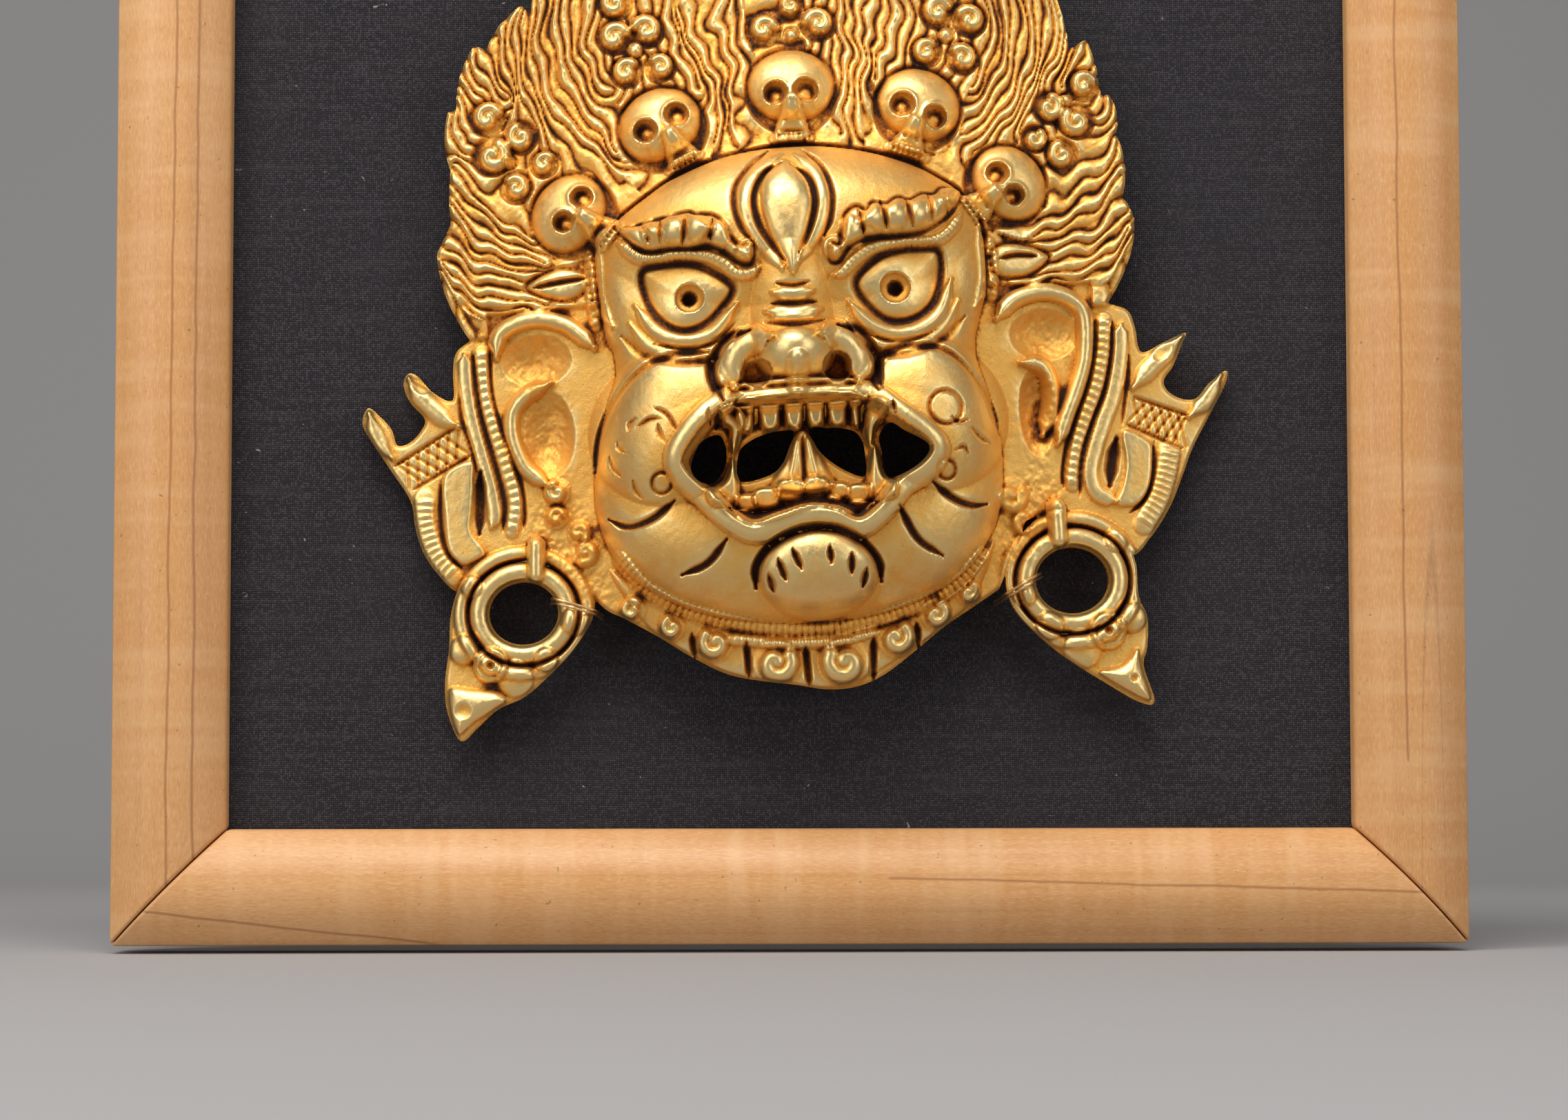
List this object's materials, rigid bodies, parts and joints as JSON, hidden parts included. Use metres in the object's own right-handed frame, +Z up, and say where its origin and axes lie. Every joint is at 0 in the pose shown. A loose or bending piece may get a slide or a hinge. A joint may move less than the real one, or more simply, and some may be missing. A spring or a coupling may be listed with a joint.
{
  "type": "framed cham mask",
  "caption": "Gilt cast mask of a fanged, three-eyed protector with a crown of skulls, wired to a dark cloth-covered board in a mitred wooden frame made to hang on a wall.",
  "frame": {"origin": "on the back face of the top rail, at the middle of its length, where the frame bears on the wall", "axes": "+X to the viewer's right, +Y into the wall, +Z up"},
  "size_m": [0.28, 0.0513, 0.3],
  "materials": {
    "wood": "oiled warm pale hardwood",
    "board": "matte grey-brown board",
    "cloth": "charcoal plain weave",
    "gilt": "gilt cast copper alloy, polished high places, red-brown patina in the grooves",
    "wire": "dull brass wire"
  },
  "bodies": {
    "root": {"frame_rail_top": "wood", "frame_rail_bottom": "wood", "frame_rail_left": "wood", "frame_rail_right": "wood", "backing_board": "board", "backing_cloth": "cloth", "mask": "gilt", "wire_tie_left": "wire", "wire_tie_right": "wire"}
  },
  "joints": []
}
